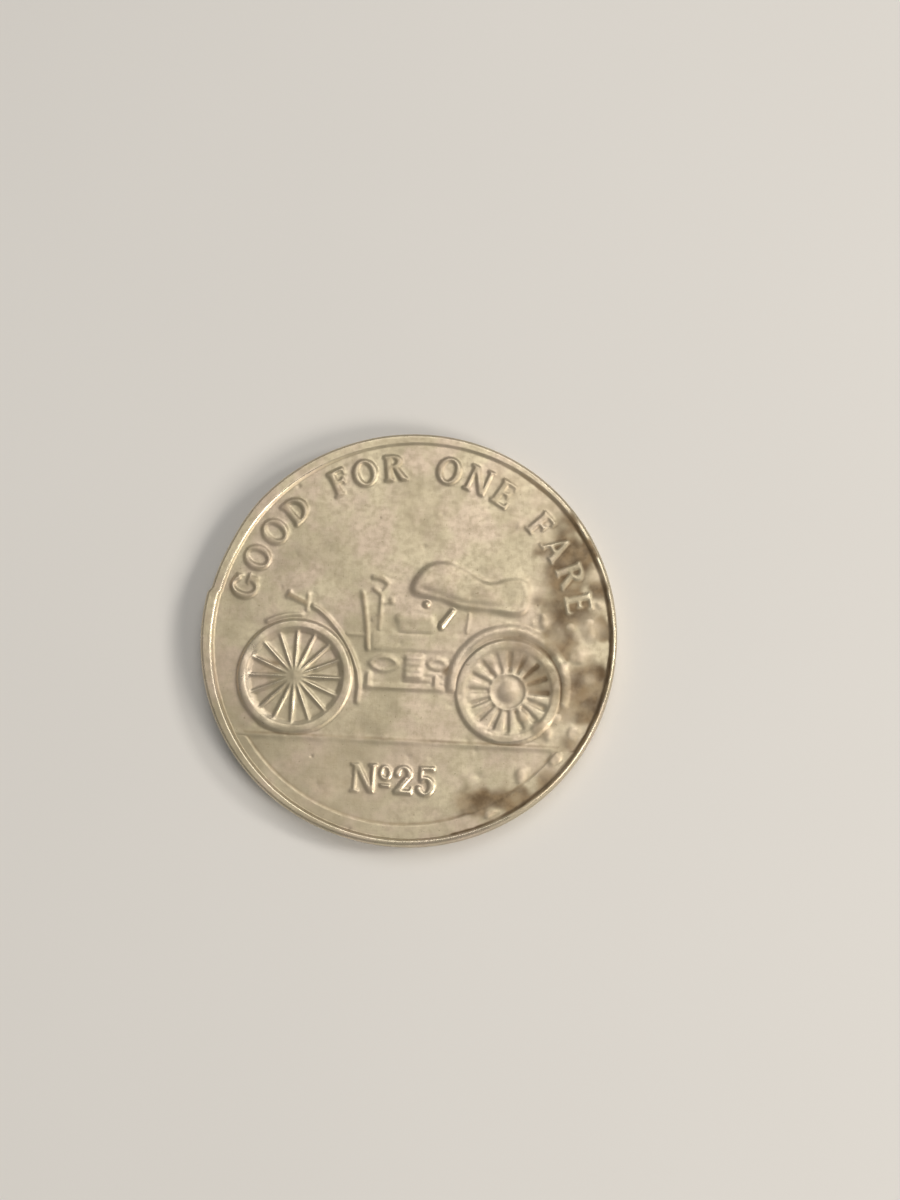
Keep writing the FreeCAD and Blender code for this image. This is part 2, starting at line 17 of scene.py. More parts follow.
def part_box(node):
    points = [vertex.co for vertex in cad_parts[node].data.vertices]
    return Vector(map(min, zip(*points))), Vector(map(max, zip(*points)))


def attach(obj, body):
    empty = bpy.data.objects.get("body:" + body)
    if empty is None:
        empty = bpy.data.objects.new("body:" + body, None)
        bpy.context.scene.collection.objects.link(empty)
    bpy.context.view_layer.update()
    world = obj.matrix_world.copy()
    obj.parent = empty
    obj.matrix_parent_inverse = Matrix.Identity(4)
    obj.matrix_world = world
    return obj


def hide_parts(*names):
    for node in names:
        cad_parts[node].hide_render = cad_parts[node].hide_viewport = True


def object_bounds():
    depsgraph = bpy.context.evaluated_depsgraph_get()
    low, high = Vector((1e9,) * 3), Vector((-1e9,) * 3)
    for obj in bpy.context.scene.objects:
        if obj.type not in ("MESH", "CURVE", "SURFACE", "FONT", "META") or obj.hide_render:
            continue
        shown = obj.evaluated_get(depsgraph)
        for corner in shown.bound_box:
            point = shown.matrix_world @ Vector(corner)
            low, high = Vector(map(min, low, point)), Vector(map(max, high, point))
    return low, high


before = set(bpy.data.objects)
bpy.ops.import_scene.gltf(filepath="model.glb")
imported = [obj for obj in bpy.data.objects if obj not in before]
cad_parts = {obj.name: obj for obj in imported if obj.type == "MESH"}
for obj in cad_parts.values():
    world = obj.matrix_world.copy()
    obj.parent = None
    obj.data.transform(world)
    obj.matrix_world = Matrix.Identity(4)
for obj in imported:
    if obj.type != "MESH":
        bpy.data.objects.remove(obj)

MM = 0.001
CAD_LOW, CAD_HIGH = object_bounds()

# The blank's sizes that the frame gives
RADIUS = (CAD_HIGH.x - CAD_LOW.x) / 2 / MM
THICKNESS = CAD_HIGH.z / MM
OBVERSE_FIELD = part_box("relief_legend")[0].z / MM
REVERSE_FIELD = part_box("reverse_legend")[1].z / MM
EXERGUE_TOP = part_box("relief_ground_line")[0].y / MM
RIM_HEIGHT = THICKNESS - OBVERSE_FIELD

# Its other sizes, as struck and worn
FIELD_RADIUS = 12.45
FIELD_MIDDLE = (0.22, -0.12)    # the obverse was struck a little off the blank's middle
RIM_SLOPE = 0.13                # half the width of the slope from field to rim
LEDGE_RADIUS = 11.7
LEDGE_SLOPE = 0.09
LEDGE_HEIGHT = 0.04             # what wear has left of it
EDGE_ROUND = 0.2

# The grid. A cell of the mesh is a square whose side is FINEST to COARSEST steps.
STEP = 0.025
FINEST = 2
COARSEST = 32
NEAR_RIM = 4                # the largest cell beside the end of a face's mesh
ALLOWED_ERROR = 0.0026      # how far a cell may stray from the surface, in millimetres
MARKS_WEIGHT = 0.017         # what a change of grime, stain and crust counts for, against a change of height; painted shade and highlights are among them
STEPS = 2 * 17 * COARSEST
AXIS = (np.arange(STEPS + 1) - STEPS / 2) * STEP
X, Y = np.meshgrid(AXIS, AXIS, indexing="ij")
R = np.hypot(X, Y)
WAVE_X = 2 * math.pi * np.fft.fftfreq(STEPS + 1, STEP)[:, None]
WAVE_Y = 2 * math.pi * np.fft.rfftfreq(STEPS + 1, STEP)[None, :]
WAVE_SQUARED = WAVE_X ** 2 + WAVE_Y ** 2

# Where the quadtree mesh of a face ends, and the rings of the rim and edge begin
FACE_RADIUS = 12.84
RING_RADIUS = 12.9
SEGMENTS = 720

# What a mesh tells the material at each point, from 0 to 1: grime, stain, crust and wear. The stain
# also holds painted shade, and the crust and the wear also hold painted highlights.
MARKS_AND_PAINTED_LIGHT = ("grime", "stain", "crust", "wear")

# How far a piece reaches below the field, and the pocket in the blank below that
PIECE_FOOT = 0.06
POCKET = 0.07

OBVERSE = sorted(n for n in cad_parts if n.startswith("relief_"))
REVERSE = sorted(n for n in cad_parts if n.startswith("reverse_"))


def blurred(values, sigma):
    """Gaussian blur over the grid. sigma is in millimetres."""
    spectrum = np.fft.rfft2(values) * np.exp(-0.5 * sigma ** 2 * WAVE_SQUARED)
    return np.fft.irfft2(spectrum, s=values.shape)


def noise(sigma, seed):
    """A smooth random field with zero mean and unit spread. sigma is the size of its lumps."""
    field = blurred(np.random.default_rng(seed).standard_normal(X.shape), sigma)
    return field / field.std()


def ramp(values, low, high):
    """0 below low and 1 above high, with a smooth rise between them."""
    t = np.clip((values - low) / (high - low), 0, 1)
    return t * t * (3 - 2 * t)


# Heights

def steps_between(low, high):
    """The grid's steps that cover a stretch of one axis."""
    first = max(0, math.floor((low - AXIS[0]) / STEP))
    return range(first, min(STEPS, math.ceil((high - AXIS[0]) / STEP)) + 1)


def cad_heights(node, side, field):
    """How far a CAD node stands above the field, seen from its own side, in millimetres."""
    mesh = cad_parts[node].data
    corners = [v.co / MM for v in mesh.vertices]
    tree = BVHTree.FromPolygons(corners, [p.vertices for p in mesh.polygons])
    low, high = (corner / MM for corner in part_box(node))
    start, inwards = side * 9, Vector((0, 0, -side))    # from well clear of the token
    height = np.zeros_like(X)
    for i in steps_between(low.x, high.x):
        for j in steps_between(low.y, high.y):
            hit = tree.ray_cast(Vector((AXIS[i], AXIS[j], start)), inwards)[0]
            if hit:
                height[i, j] = side * (hit.z - field)
    return height


# How worn each feature is: how far its edges have spread, and the share of the CAD height it has
WEAR = {
    "relief_legend": (0.062, 0.62),
    "relief_number": (0.055, 0.72),
    "relief_ground_line": (0.12, 0.5),
    "relief_front_wheel": (0.06, 1.0),
    "relief_rear_wheel": (0.065, 0.85),
    "relief_front_mudguard": (0.07, 0.85),
    "relief_rear_mudguard": (0.08, 1.25),
    "relief_body_panel": (0.12, 0.3),
    "relief_chassis_rail": (0.1, 0.85),
    "relief_folded_top": (0.125, 0.95),
    "relief_springs": (0.1, 0.9),
    "relief_engine": (0.1, 0.85),
    "relief_top_props": (0.07, 1.05),
    "relief_seat": (0.12, 0.5),
    "relief_headlamp": (0.07, 0.6),
    "relief_steering_tiller": (0.07, 0.55),
    "relief_dash_board": (0.07, 0.55),
}
USUAL_WEAR = (0.06, 0.8)

# How brown the raised metal of a feature is painted, from 0 to 1. On the legend this brown is
# painted shade, for the shaded sides of its strokes.
RAISED_BROWN_AND_SHADE = {
    "relief_legend": 0.26,
    "relief_headlamp": 0.6,
    "relief_dash_board": 0.65,
    "relief_steering_tiller": 0.55,
    "relief_chassis_rail": 0.2,
    "relief_folded_top": 0.08,
    "relief_front_mudguard": 0.22,
    "relief_seat": 0.12,
}


def rounded(height, spread):
    """A feature with its edges spread: most of it closely, the rest into a wider foot."""
    close = 0.7
    return close * blurred(height, spread) + (1 - close) * blurred(height, 2.2 * spread)


def read_relief(nodes, side, field):
    """The worn relief of one face, and for each grid point the number of its node, 0 for the blank.

    A node also owns a narrow apron round its feature.
    """
    standing, apron, least = 0.004, 0.07, 0.05
    height, owner = np.zeros_like(X), np.zeros(X.shape, int)
    best = np.full(X.shape, least)
    for number, node in enumerate(nodes, 1):
        own = cad_heights(node, side, field)
        share = blurred((own > standing).astype(float), apron)
        owner[share > best] = number
        best = np.maximum(best, share)
        spread, left = WEAR.get(node, USUAL_WEAR)
        height = np.maximum(height, left * rounded(own, spread))
    return height, owner


def rim_wear(angle):
    """Share of the obverse rim that is worn away, by the direction in radians from +X."""
    most, middle, spread = 0.75, math.radians(88), math.radians(40)
    return most * band(angle - middle, spread)


def band(away, width):
    """1 along a line and less to each side of it. away is the distance from the line."""
    return np.exp(-(away / width) ** 2)


def reach_from(middle):
    """How far each grid point is from a place on the face."""
    return np.hypot(X - middle[0], Y - middle[1])


def corner_drop(radius):
    """How far the rounded corner between rim and edge has fallen away at a radius."""
    past = np.clip(radius - (RADIUS - EDGE_ROUND), 0, 0.99 * EDGE_ROUND)
    return EDGE_ROUND - np.sqrt(EDGE_ROUND ** 2 - past ** 2)


def rim(middle, wear):
    """The raised rim round a field with its own middle."""
    reach = reach_from(middle)
    return RIM_HEIGHT * (1 - wear) * ramp(reach, FIELD_RADIUS - RIM_SLOPE, FIELD_RADIUS + RIM_SLOPE)


def ledge():
    """The ledge inside the rim, round the segment below the ground line."""
    end = 0.06
    below = ramp(-Y, -EXERGUE_TOP - end, -EXERGUE_TOP + end)
    return LEDGE_HEIGHT * below * ramp(R, LEDGE_RADIUS - LEDGE_SLOPE, LEDGE_RADIUS + LEDGE_SLOPE)


def uneven_strike(seed):
    """The relief's share of its height, which differs a little from place to place."""
    broad, fine = noise(2.2, seed), noise(0.4, seed + 20)
    return 1 - 0.12 * np.clip(broad, -1, 1.5) + 0.13 * fine


def field_waves(seed):
    """The field is never quite flat: waves of three sizes, each given as (height, size)."""
    waves = ((0.009, 1.7), (0.0034, 0.45), (0.0012, 0.14))
    return sum(height * noise(size, seed + k) for k, (height, size) in enumerate(waves))


def dings(count, seed):
    """Small round dents from other coins."""
    random = np.random.default_rng(seed)
    depth = np.zeros_like(X)
    for _ in range(count):
        angle = random.uniform(0, 2 * math.pi)
        reach = RADIUS * math.sqrt(random.uniform(0, 0.98))
        width, deep = random.uniform(0.05, 0.17), random.uniform(0.006, 0.022)
        x, y = reach * math.cos(angle), reach * math.sin(angle)
        spread = slice_about(x, 4 * width), slice_about(y, 4 * width)
        far = (X[spread] - x) ** 2 + (Y[spread] - y) ** 2
        depth[spread] += deep * np.exp(-far / (2 * width ** 2))
    return depth


def slice_about(middle, reach):
    """A slice of the grid's steps within reach of a place on one axis."""
    steps = steps_between(middle - reach, middle + reach)
    return slice(steps.start, max(steps.stop, steps.start))


def patches(places):
    """Soft round patches, each given by its (x, y, radius, strength)."""
    total = np.zeros_like(X)
    for x, y, radius, strength in places:
        total = np.maximum(total, strength * np.exp(-((X - x) ** 2 + (Y - y) ** 2) / radius ** 2))
    return total


# Where the obverse is dirty, and where highlights are painted on it, as the (x, y, radius,
# strength) of soft round patches

# Pale crust: over the end of the legend, down the right side and beside the rim
CRUST = (
    (5.3, 8.2, 0.5, 0.35), (6.8, 7.3, 0.4, 0.75), (7.9, 6.2, 0.45, 0.8), (11.7, 2.4, 0.45, 0.6),
    (11.2, 0.7, 0.8, 0.95), (10.8, -0.8, 0.7, 0.95), (8.3, 1.3, 0.6, 0.95), (10.2, 0.9, 0.5, 0.7),
    (9.9, -1.7, 0.6, 0.6), (9.7, -4.6, 0.8, 0.9), (8.6, -5.6, 0.6, 1.0), (9.5, -7.2, 0.5, 0.7),
    (5.9, -10.7, 0.5, 0.8), (8.2, -4.0, 0.55, 0.85), (7.6, -0.9, 0.5, 0.5), (9.3, 0.5, 0.6, 0.75),
    (7.7, -8.3, 0.5, 0.95), (10.6, -5.6, 0.5, 0.7), (6.5, -2.8, 0.5, 0.7), (7.3, -4.6, 0.5, 0.7),
    (6.1, -2.2, 0.35, 0.6), (6.9, -3.3, 0.35, 0.8), (11.3, -2.2, 0.4, 0.6),
)
# Whitish film, too thin to stand up, and painted highlights.
# Painted highlights, not film: the patches at (1.1, 2.0) and (2.4, 1.15) on the stick and ball,
# (-9.9, -2.5) and (-7.9, -5.2) on the front wheel, and (7.6, 0.4) on the rear mudguard's crest.
FILM_AND_HIGHLIGHTS = (
    (6.2, 10.1, 1.4, 0.85), (7.7, 8.9, 0.9, 0.9), (6.8, 7.6, 0.7, 0.6), (8.0, 6.5, 0.7, 0.6),
    (7.7, 3.3, 0.8, 0.9), (8.2, 4.2, 0.6, 0.6), (9.2, -5.6, 1.3, 0.7), (7.2, 1.9, 0.7, 0.6),
    (11.6, 4.3, 0.5, 0.8), (0.6, -6.9, 1.8, 0.3), (3.2, -4.2, 1.5, 0.25), (1.0, 8.0, 2.2, 0.25),
    (4.5, 1.6, 0.9, 0.4), (-2.0, 1.2, 1.0, 0.3), (1.1, 2.0, 0.35, 0.8), (2.4, 1.15, 0.55, 0.6),
    (-9.9, -2.5, 0.5, 0.4), (-7.9, -5.2, 0.7, 0.5), (8.9, -7.0, 1.6, 0.45), (10.8, 0.0, 0.8, 0.2),
    (7.4, -3.6, 1.0, 0.5), (6.4, -2.6, 0.6, 0.5), (7.6, 0.4, 0.9, 0.6), (8.6, 8.3, 0.9, 0.7),
    (-3.6, -9.0, 3.0, 0.6), (3.4, 1.3, 1.6, 0.45), (6.2, 0.2, 1.2, 0.5),
)
# Painted highlights: raised metal painted brighter, and made smoother, in patches where highlights
# fall
PAINTED_HIGHLIGHTS = (
    (-9.5, -1.4, 0.9, 0.9), (-9.8, -2.9, 0.9, 1.0), (-9.5, -4.2, 0.8, 0.6), (-8.2, -5.4, 1.0, 0.8),
    (-7.2, -5.0, 0.8, 0.9), (1.1, 2.0, 0.6, 1.0), (2.4, 1.2, 0.9, 1.0), (-0.4, -8.9, 2.0, 0.6),
    (3.9, -0.6, 0.9, 0.7), (8.3, -3.8, 0.8, 0.6),
)
# Brown stain: among the crust, in the wheels and at the foot of the rim
STAIN = (
    (7.4, 9.2, 0.9, 0.35), (8.4, 7.6, 1.2, 0.6), (9.5, 6.2, 1.4, 0.85), (9.3, 4.8, 1.0, 0.85),
    (10.4, 4.3, 1.3, 1.0), (9.9, 2.4, 1.7, 1.3), (11.6, 3.2, 0.9, 1.1), (11.9, 1.0, 0.8, 1.0),
    (8.9, 1.9, 1.1, 0.75), (10.7, -2.8, 1.6, 1.35), (11.5, -4.4, 0.9, 1.0), (6.8, -0.9, 1.2, 0.95),
    (8.7, -2.3, 1.3, 1.0), (5.4, -1.6, 0.7, 0.5), (2.45, -2.1, 0.5, 0.55), (10.2, -6.4, 0.8, 0.75),
    (8.9, -8.6, 0.9, 0.85), (4.9, -10.1, 1.2, 0.95), (6.6, -9.9, 1.1, 0.9), (7.6, -9.5, 0.8, 0.9),
    (9.6, -0.2, 1.4, 0.9), (-8.3, -2.7, 1.1, 0.3), (11.0, 5.7, 0.9, 0.9), (9.6, 7.8, 0.8, 0.6),
    (8.4, 5.7, 0.9, 0.55), (8.0, -0.7, 0.8, 0.8), (11.2, -1.7, 0.6, 0.8), (9.9, 0.3, 0.9, 1.0),
)


def crust_lumps(seed):
    """Thickness of the crust: smooth lumps that run together, thickest where it is strong."""
    thickest, softness, clear_of_rim = 0.115, 0.08, 0.3
    spread = patches(CRUST)
    lumps = 0.75 * noise(0.24, seed) + 0.25 * noise(0.13, seed + 1)
    rise = ramp(lumps + 2.6 * spread, 0.5, 3.4) * ramp(spread, 0.08, 0.5)
    uneven = 0.75 + 0.25 * np.tanh(noise(0.3, seed + 2))
    inside = 1 - ramp(R, FIELD_RADIUS - clear_of_rim, FIELD_RADIUS)
    return blurred(thickest * rise * uneven, softness) * inside


def film_and_highlights(seed):
    """How thick the whitish deposit is, from 0 to 1, with the painted highlights among its patches.
    It lies over the crust too.
    """
    return patches(FILM_AND_HIGHLIGHTS + CRUST) * (0.7 + 0.3 * np.tanh(noise(0.35, seed)))


def edge_stain():
    """Brown along the foot of the rim, down the right side."""
    way = np.degrees(np.arctan2(Y, X))
    stretch = ramp(way, -84, -58) * (1 - ramp(way, 52, 74))
    return stretch * band(reach_from(FIELD_MIDDLE) - FIELD_RADIUS + 0.03, 0.14)


def line_darkening():
    """Brown in the corner at the foot of the ledge and above the ground line."""
    below = ramp(-Y, -EXERGUE_TOP - 0.2, -EXERGUE_TOP + 0.1)
    by_ledge = below * band(R - LEDGE_RADIUS + 0.08, 0.1)
    by_ground = band(Y - EXERGUE_TOP - 0.24, 0.09) * (R < LEDGE_RADIUS)
    return np.maximum(by_ledge, by_ground)


# Heights in millimetres at which something starts to count, and counts fully
RAISED = (0.02, 0.07)       # metal that stands above the field
HIGHLIGHT_HEIGHTS = (0.01, 0.04)     # metal high enough to take a painted highlight
CRUSTED = (0.015, 0.07)     # crust that hides the metal
HOLLOW = (0.003, 0.03)      # depth below the surface around
CREST = (0.005, 0.03)       # height above the surface around
AROUND = 0.11               # how far the surface around reaches
SHARPEST = 0.012            # how finely the metal is struck

# How well raised metal has shed its crust and stain
SHED, LEGEND_SHED = 0.35, 0.85


class Face:
    """The struck surface of one side: height above the field, owner, and grime, stain, crust and
    wear, with painted shade and highlights among them, at each grid point.
    """

    def __init__(self, nodes, side, field, seed):
        self.nodes, self.side, self.field = nodes, side, field
        obverse = side > 0
        height, self.owner = read_relief(nodes, side, field)
        raised = ramp(height, *RAISED)
        shed = [SHED] + [LEGEND_SHED if "legend" in node else SHED for node in nodes]
        self.cleaned = blurred(np.array(shed)[self.owner] * raised, 0.05)
        # Brown painted on the raised metal of some features; on the legend it is painted shade.
        raised_brown_and_shade = [0] + [RAISED_BROWN_AND_SHADE.get(node, 0) for node in nodes]
        self.raised_brown_and_shade = np.array(raised_brown_and_shade)[self.owner] * raised

        if obverse:
            edge = np.maximum(rim(FIELD_MIDDLE, rim_wear(np.arctan2(Y, X))), ledge())
        else:
            edge = rim((0, 0), 0)
        metal = np.maximum(height * uneven_strike(seed), edge)
        metal = metal + field_waves(seed + 2) - dings(45, seed + 6)
        puff = crust_lumps(seed + 10) if obverse else np.zeros_like(X)
        above_rim = 0.008
        top = np.minimum(metal + puff * (1 - self.cleaned), RIM_HEIGHT + above_rim)
        self.height = blurred(top, SHARPEST) - corner_drop(R)
        cavity = blurred(self.height, AROUND) - self.height

        hollow = ramp(cavity, *HOLLOW)
        # The crust also holds the painted highlights from the film's highlight patches.
        self.crust = np.maximum(ramp(puff, *CRUSTED), film_and_highlights(seed + 30) if obverse else 0)
        self.stain = self.stained(hollow, seed + 13) if obverse else 0.35 * hollow
        self.grime = hollow * (0.08 + 0.85 * ramp(self.stain, 0.15, 0.6)) * (1 - 0.4 * self.crust)
        # Painted highlights: patches on raised metal whose colour is painted brighter and whose
        # roughness is lowered
        painted_highlight = patches(PAINTED_HIGHLIGHTS) * ramp(height, *HIGHLIGHT_HEIGHTS) if obverse else 0
        # Brightness from wear: worn crests, partly a painted highlight there, and the painted
        # highlight patches.
        crest_wear_and_highlight = np.maximum(ramp(-cavity, *CREST), painted_highlight)
        self.wear = crest_wear_and_highlight * (1 - self.crust) * (1 - 0.7 * self.stain)
        self.need = self.needed_cells()

    def stained(self, hollow, seed):
        """Brown stain in patches, in hollows near them and by the rim; darker brown in lines; and
        brown on features, which on the legend is painted shade.
        """
        uneven = 0.18 * noise(0.45, seed) + 0.12 * noise(0.2, seed + 1)
        placed = np.maximum(patches(STAIN), edge_stain())
        stain = ramp(placed + uneven * ramp(placed, 0.05, 0.35), 0.1, 0.8)
        near = ramp(patches(CRUST + STAIN), 0.1, 0.5)
        left_of_crust = 1 - ramp(X, 5, 8)
        total = stain * (1 - self.cleaned) + 0.7 * hollow * near + 0.08 * hollow
        # Adds the darker brown in lines, and the raised metal's brown, which is painted shade on
        # the legend.
        total = total + 0.5 * line_darkening() + self.raised_brown_and_shade * left_of_crust
        return np.clip(total, 0, 1) * (1 - 0.75 * self.crust)

    def needed_cells(self):
        """The largest cell, in steps, that still follows the surface and its grime, stain and
        crust, painted shade and highlights among them, at each point.
        """
        marks = curvature(self.grime) + curvature(self.crust) + curvature(self.stain)
        bend = curvature(self.height) + MARKS_WEIGHT * marks
        size = np.sqrt(8 * ALLOWED_ERROR / np.maximum(bend, 1e-6)) / STEP
        need = np.clip(2 ** np.floor(np.log2(size)), FINEST, COARSEST)
        zone = 0.4
        by_rim = np.abs(R - FACE_RADIUS) < zone
        return graded(np.where(by_rim, np.minimum(need, NEAR_RIM), need))

    def z(self, height):
        """The frame's z, in millimetres, of a height above the field."""
        return self.field + self.side * height


def curvature(values):
    """Largest second difference along the grid, per square millimetre."""
    bend = np.zeros_like(values)
    bend[1:-1] = np.abs(values[2:] - 2 * values[1:-1] + values[:-2])
    across = np.abs(values[:, 2:] - 2 * values[:, 1:-1] + values[:, :-2])
    bend[:, 1:-1] = np.maximum(bend[:, 1:-1], across)
    return blurred(bend, 0.04) / STEP ** 2


def grown(mask, steps):
    """A mask, wider by a number of steps on each side."""
    for axis in (0, 1):
        total = mask.copy()
        for shift in range(1, steps + 1):
            total |= np.roll(mask, shift, axis) | np.roll(mask, -shift, axis)
        mask = total
    return mask


def graded(need):
    """Cells never more than double from one to the next."""
    size = FINEST
    while size < COARSEST:
        need = np.where(grown(need <= size, size), np.minimum(need, 2 * size), need)
        need = np.where(grown(need < 2 * size, size), np.minimum(need, 2 * size), need)
        size *= 2
    return need


# Quadtree meshes

def quadtree(need):
    """Cells as (i, j, size) rows that are no larger than need asks anywhere in them."""
    size = COARSEST
    corners = np.arange(0, STEPS, size)
    open_cells = np.stack(np.meshgrid(corners, corners, indexing="ij"), -1).reshape(-1, 2)
    rows = []
    while True:
        blocks = need[:-1, :-1].reshape(STEPS // size, size, STEPS // size, size).min(axis=(1, 3))
        split = blocks[open_cells[:, 0] // size, open_cells[:, 1] // size] < size
        if size == FINEST:
            split[:] = False
        kept = open_cells[~split]
        rows.append(np.column_stack([kept, np.full(len(kept), size)]))
        if size == FINEST:
            return np.concatenate(rows)
        size //= 2
        offsets = np.array([(0, 0), (size, 0), (0, size), (size, size)])
        open_cells = (open_cells[split][:, None] + offsets).reshape(-1, 2)


def cell_polygons(cells):
    """(points, polygons): grid points (i, j) and anticlockwise polygons on them, without T-joints.

    A cell with smaller cells beside it is a fan of triangles round a hub in its middle.
    """
    corner = np.zeros(X.shape, bool)
    i, j, s = cells.T
    for di, dj in ((0, 0), (1, 0), (1, 1), (0, 1)):
        corner[i + di * s, j + dj * s] = True
    fine = s == FINEST
    number = np.full(X.shape, -1)
    hubs = []
    outlines = []
    for i0, j0, size in cells[~fine]:
        outline = cell_outline(corner, i0, j0, size)
        outlines.append(outline)
        if len(outline) > 4:
            hubs.append((i0 + size // 2, j0 + size // 2))
    for hub in hubs:
        corner[hub] = True
    points = np.argwhere(corner)
    number[points[:, 0], points[:, 1]] = np.arange(len(points))
    i, j = cells[fine][:, 0], cells[fine][:, 1]
    quads = np.column_stack([
        number[i, j], number[i + FINEST, j], number[i + FINEST, j + FINEST], number[i, j + FINEST],
    ])
    polygons = quads.tolist()
    for (i0, j0, size), outline in zip(cells[~fine], outlines):
        loop = [int(number[p]) for p in outline]
        if len(loop) == 4:
            polygons.append(loop)
            continue
        hub = int(number[i0 + size // 2, j0 + size // 2])
        polygons += [[hub, a, b] for a, b in zip(loop, loop[1:] + loop[:1])]
    return points, polygons


def cell_outline(corner, i0, j0, size):
    """The corners, its own and its smaller neighbours', that lie round a cell, anticlockwise."""
    along = range(0, size, FINEST)
    walk = [(i0 + d, j0) for d in along] + [(i0 + size, j0 + d) for d in along]
    walk += [(i0 + size - d, j0 + size) for d in along] + [(i0, j0 + size - d) for d in along]
    return [p for p in walk if corner[p]]


def boundary_edges(polygons):
    """Directed edges that only one polygon uses."""
    edges = {(a, b) for loop in polygons for a, b in zip(loop, loop[1:] + loop[:1])}
    return [(a, b) for a, b in edges if (b, a) not in edges]


def surface_normals(height, side):
    """The normal of a face's surface at each grid point."""
    dx, dy = np.gradient(height, STEP)
    normal = np.stack([-dx, -dy, np.ones_like(height)], -1)
    normal /= np.linalg.norm(normal, axis=-1, keepdims=True)
    normal[..., 2] *= side
    return normal


# The edge of the token, which is pressed in along one stretch that ends in a small step

def inset(angle):
    """How far the edge is pressed in, by the direction in degrees anticlockwise from +X."""
    deepest, out_of_round, lobes = 0.19, 0.04, 3
    pressed = ramp(angle, 138, 158) * (1 - ramp(angle, 168.5, 170.5))
    return deepest * pressed + out_of_round * (1 + np.sin(np.radians(angle) * lobes + 1)) / 2


def pressed_in(points):
    """Moves points near the edge inwards, where it is pressed in."""
    radius = np.hypot(points[:, 0], points[:, 1])
    angle = np.degrees(np.arctan2(points[:, 1], points[:, 0])) % 360
    starts, full = RADIUS - 1.4, RADIUS - 0.1
    share = ramp(radius, starts, full)
    factor = 1 - inset(angle) * share / np.maximum(radius, 1)
    moved = points.copy()
    moved[:, :2] *= factor[:, None]
    return moved


def make_piece(name, points, normals, polygons, marks, node):
    """A mesh object in the frame that stands for a CAD node. marks holds a value for each point:
    grime, stain, crust and wear, with painted shade and highlights among them.
    """
    mesh = bpy.data.meshes.new(name)
    mesh.from_pydata((pressed_in(points) * MM).tolist(), [], polygons)
    mesh.shade_smooth()
    for key, values in marks.items():
        attribute = mesh.attributes.new(key, "FLOAT", "POINT")
        attribute.data.foreach_set("value", np.asarray(values, np.float32))
    mesh.normals_split_custom_set_from_vertices(normals.tolist())
    piece = bpy.data.objects.new(name, mesh)
    bpy.context.scene.collection.objects.link(piece)
    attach(piece, "root")
    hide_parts(node)
    return piece


# The pieces

def owner_of_cells(face, cells):
    """The number of the node that owns the middle of each cell."""
    i, j, size = cells.T
    return face.owner[i + size // 2, j + size // 2]


def near_owner_change(face):
    """Grid points next to a change of owner, where every mesh has its finest cells."""
    middle, margin = FINEST // 2, FINEST + 1
    owner = face.owner[middle::FINEST, middle::FINEST].repeat(FINEST, 0).repeat(FINEST, 1)
    change = np.zeros(X.shape, bool)
    change[1:-1, :-1] |= owner[1:] != owner[:-1]
    change[:-1, 1:-1] |= owner[:, 1:] != owner[:, :-1]
    return grown(change, margin)


def relief_pieces(face, material):
    """A closed piece for each relief node: the struck surface, a skirt and a flat foot."""
    need = np.where(near_owner_change(face), FINEST, face.need)
    cells = quadtree(graded(need))
    owners = owner_of_cells(face, cells)
    normals = surface_normals(face.height, face.side)
    for number, node in enumerate(face.nodes, 1):
        grid, polygons = cell_polygons(cells[owners == number])
        i, j = grid.T
        top = np.column_stack([X[i, j], Y[i, j], face.z(face.height[i, j])])
        foot = np.column_stack([X[i, j], Y[i, j], np.full(len(i), face.z(-PIECE_FOOT))])
        count = len(i)
        loops = polygons + [[p + count for p in reversed(loop)] for loop in polygons]
        loops += [[b, a, a + count, b + count] for a, b in boundary_edges(polygons)]
        if face.side < 0:
            loops = [loop[::-1] for loop in loops]
        down = np.tile([0.0, 0.0, -face.side], (count, 1))
        clean = np.zeros(count)
        marks = {key: np.concatenate([getattr(face, key)[i, j], clean]) for key in MARKS_AND_PAINTED_LIGHT}
        piece = make_piece(
            f"{node}_struck", np.concatenate([top, foot]),
            np.concatenate([normals[i, j], down]), loops, marks, node,
        )
        piece.data.materials.append(material)


def blank_face(face):
    """The blank's share of a face, with a pocket under each piece.

    Gives (points, normals, polygons, marks), where marks holds grime, stain, crust and wear with
    painted shade and highlights among them.
    """
    border = near_owner_change(face)
    inside = (face.owner > 0) & ~grown(face.owner == 0, 2 * FINEST)
    need = np.where(inside, COARSEST, face.need)
    cells = quadtree(graded(np.where(border, FINEST, need)))
    i, j, size = cells.T
    reach = np.maximum.reduce([R[i + a * size, j + b * size] for a in (0, 1) for b in (0, 1)])
    grid, polygons = cell_polygons(cells[reach < FACE_RADIUS])
    i, j = grid.T
    owner = face.owner > 0
    beside = [owner[i + a, j + b] for a in (-1, 1) for b in (-1, 1)]
    sunk = np.logical_and.reduce(beside)
    height = np.where(sunk, -POCKET, face.height[i, j])
    points = np.column_stack([X[i, j], Y[i, j], face.z(height)])
    normals = surface_normals(face.height, face.side)[i, j]
    marks = {key: getattr(face, key)[i, j] for key in MARKS_AND_PAINTED_LIGHT}
    return points, normals, polygons, marks


def edge_profile():
    """(radius, z) down the edge from the obverse rim to the reverse rim, with round corners."""
    first = math.acos(1 - (RADIUS - RING_RADIUS) / EDGE_ROUND)
    upper = [
        (RADIUS - EDGE_ROUND * (1 - math.cos(a)), THICKNESS - EDGE_ROUND * (1 - math.sin(a)))
        for a in np.linspace(first, 0, 6)
    ]
    lower = [(r, THICKNESS - z) for r, z in reversed(upper)]
    wall = [(RADIUS, z) for z in np.linspace(upper[-1][1], lower[0][1], 10)[1:-1]]
    return upper + wall + lower


